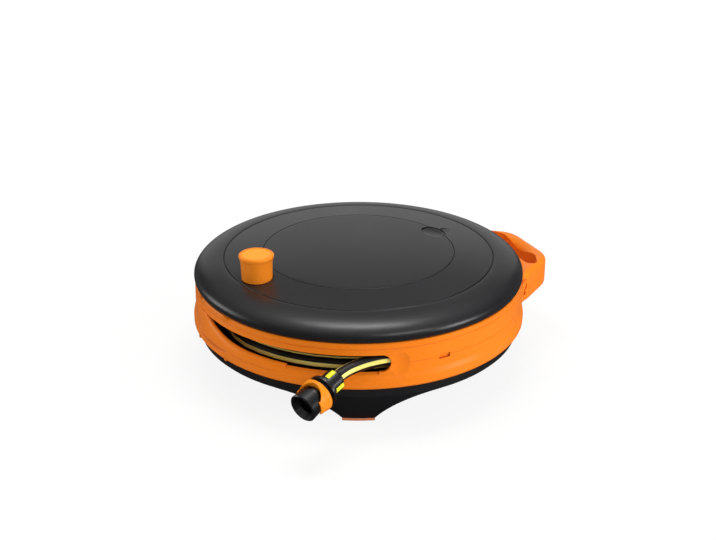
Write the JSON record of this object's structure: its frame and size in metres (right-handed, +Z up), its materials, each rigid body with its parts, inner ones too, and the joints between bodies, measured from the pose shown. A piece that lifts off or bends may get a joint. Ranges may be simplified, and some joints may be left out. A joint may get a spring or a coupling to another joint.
{
  "type": "garden hose reel",
  "caption": "Flat round garden hose reel: footed base, swivelling housing with carrying handle, crank lid on a winding drum, and hose with a quick connector.",
  "frame": {"origin": "on the floor, at the middle of the box round the reel without its free hose and connector", "axes": "+Z up along the drum axis, +X towards the carrying handle"},
  "size_m": [0.5505, 0.5305, 0.2078],
  "materials": {
    "base_plastic": "fine grained near-black moulded plastic",
    "pad_plastic": "soft orange-brown moulded pad",
    "screw_steel": "zinc plated",
    "bearing_plastic": "pale low-friction plastic",
    "seal_rubber": "black rubber",
    "housing_plastic": "satin orange moulded plastic",
    "knob_plastic": "satin orange moulded plastic",
    "knob_cap_plastic": "satin lighter orange",
    "drum_plastic": "dark grey moulded plastic",
    "lid_plastic": "satin dark grey moulded plastic",
    "brass": "machined brass",
    "hose": "black hose skin with long yellow stripes",
    "connector_black": "black moulded plastic",
    "connector_yellow": "yellow grip strips",
    "connector_orange": "orange collar"
  },
  "bodies": {
    "base": {"base_shell": "base_plastic", "foot_pads": "pad_plastic", "pad_screws": "screw_steel", "glide_ring": "bearing_plastic", "spindle": "bearing_plastic", "spindle_screws": "screw_steel", "spindle_seals": "seal_rubber", "spindle_clips": "screw_steel", "thrust_washer": "bearing_plastic", "inlet_elbow": "base_plastic", "inlet_pipe": "base_plastic", "tap_nipple": "base_plastic", "nipple_seal": "seal_rubber"},
    "housing": {"lower_shell": "housing_plastic", "upper_shell": "housing_plastic", "housing_screws": "screw_steel", "swivel_bush": "bearing_plastic", "hose_guide": "drum_plastic", "free_hose": "hose", "connector_nut": "connector_black", "connector_grips": "connector_yellow", "connector_body": "connector_black", "connector_seal": "seal_rubber", "hose_gripper": "bearing_plastic"},
    "drum": {"drum_hub": "drum_plastic", "drum_flange": "drum_plastic", "flange_screws": "screw_steel", "lid": "lid_plastic", "lid_screws": "screw_steel", "rotary_coupling": "bearing_plastic", "coupling_screws": "screw_steel", "outlet_pipe": "brass", "hose_lead": "hose", "hose_clamp": "screw_steel", "hose_core": "hose", "hose_winding": "hose", "knob_axle": "screw_steel", "knob_screw": "screw_steel"},
    "knob": {"knob": "knob_plastic", "knob_cap": "knob_cap_plastic"},
    "cover": {"hub_cover": "lid_plastic"},
    "collar": {"connector_collar": "connector_orange"}
  },
  "joints": [
    {"name": "housing_swivel", "type": "hinge", "parent": "base", "child": "housing", "pos_m": [-0.0266, 0, 0.0742], "axis": [0, 0, 1], "continuous": true},
    {"name": "drum_spin", "type": "hinge", "parent": "housing", "child": "drum", "pos_m": [-0.0266, 0, 0.1008], "axis": [0, 0, 1], "continuous": true},
    {"name": "knob_spin", "type": "hinge", "parent": "drum", "child": "knob", "pos_m": [-0.19761, -0.03015, 0.17], "axis": [0, 0, 1], "continuous": true},
    {"name": "cover_lift", "type": "slide", "parent": "drum", "child": "cover", "axis": [0, 0, 1], "range_m": [0, 0.06]},
    {"name": "collar_slide", "type": "slide", "parent": "housing", "child": "collar", "axis": [0.8699, 0.4432, 0.2164], "range_m": [0, 0.004], "stiffness_N_per_m": 1000, "springref_m": -0.001}
  ]
}
